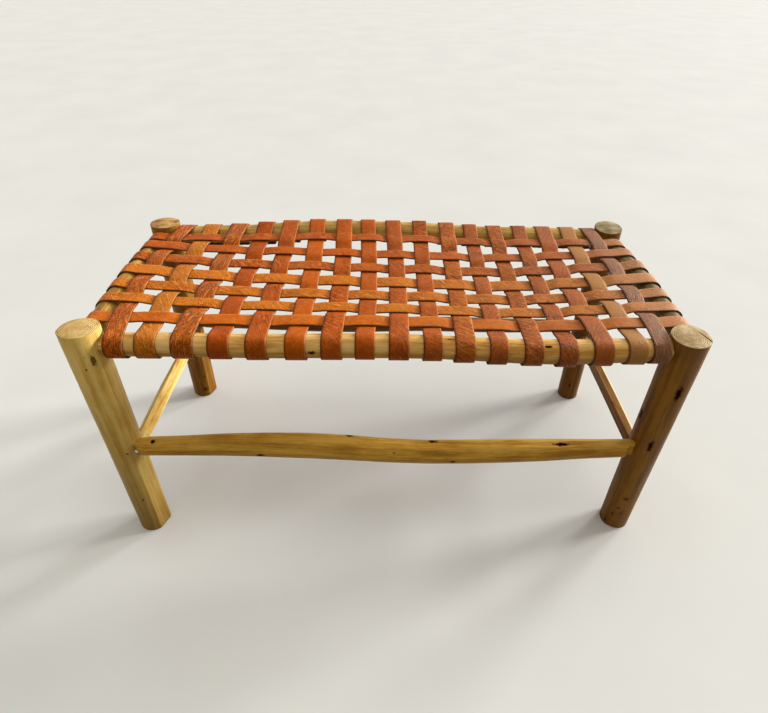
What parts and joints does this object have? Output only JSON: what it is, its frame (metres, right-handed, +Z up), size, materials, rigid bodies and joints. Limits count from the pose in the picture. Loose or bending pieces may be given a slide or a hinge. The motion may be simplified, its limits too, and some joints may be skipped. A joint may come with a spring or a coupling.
{
  "type": "woven seat bench",
  "caption": "Rustic pole bench with round tenoned legs, rails and stretchers and a seat of leather straps woven over and under between the rails.",
  "frame": {"origin": "middle of the bench's outline at floor level", "axes": "+X along the bench to its right end, +Y to its back, +Z up"},
  "size_m": [0.982, 0.4482, 0.4588],
  "materials": {
    "pole_wood": "peeled, bare, slightly polished by hand, golden with brown knots",
    "hewn_wood": "hewn with a knife, bare, darker on the shaded flats",
    "strap_leather": "smooth vegetable tanned, cognac brown with pale cut edges",
    "nail_steel": "plain wire nails and tacks"
  },
  "bodies": {
    "root": {"leg_front_left": "pole_wood", "leg_front_right": "pole_wood", "leg_back_left": "pole_wood", "leg_back_right": "pole_wood", "seat_rail_front": "pole_wood", "seat_rail_back": "pole_wood", "seat_rail_left": "pole_wood", "seat_rail_right": "pole_wood", "stretcher_front": "pole_wood", "stretcher_back": "pole_wood", "stretcher_left": "hewn_wood", "stretcher_right": "hewn_wood", "warp_strap_01": "strap_leather", "warp_strap_02": "strap_leather", "warp_strap_03": "strap_leather", "warp_strap_04": "strap_leather", "warp_strap_05": "strap_leather", "warp_strap_06": "strap_leather", "warp_strap_07": "strap_leather", "warp_strap_08": "strap_leather", "warp_strap_09": "strap_leather", "warp_strap_10": "strap_leather", "warp_strap_11": "strap_leather", "warp_strap_12": "strap_leather", "warp_strap_13": "strap_leather", "warp_strap_14": "strap_leather", "warp_strap_15": "strap_leather", "warp_strap_16": "strap_leather", "warp_strap_17": "strap_leather", "weft_strap_1": "strap_leather", "weft_strap_2": "strap_leather", "weft_strap_3": "strap_leather", "weft_strap_4": "strap_leather", "weft_strap_5": "strap_leather", "weft_strap_6": "strap_leather", "weft_strap_7": "strap_leather", "tack_left_1": "nail_steel", "tack_left_2": "nail_steel", "tack_left_3": "nail_steel", "tack_left_4": "nail_steel", "tack_left_5": "nail_steel", "tack_left_6": "nail_steel", "tack_left_7": "nail_steel", "tack_right_1": "nail_steel", "tack_right_2": "nail_steel", "tack_right_3": "nail_steel", "tack_right_4": "nail_steel", "tack_right_5": "nail_steel", "tack_right_6": "nail_steel", "tack_right_7": "nail_steel", "nail_front_left": "nail_steel", "nail_front_right": "nail_steel", "nail_back_left": "nail_steel", "nail_back_right": "nail_steel"}
  },
  "joints": []
}
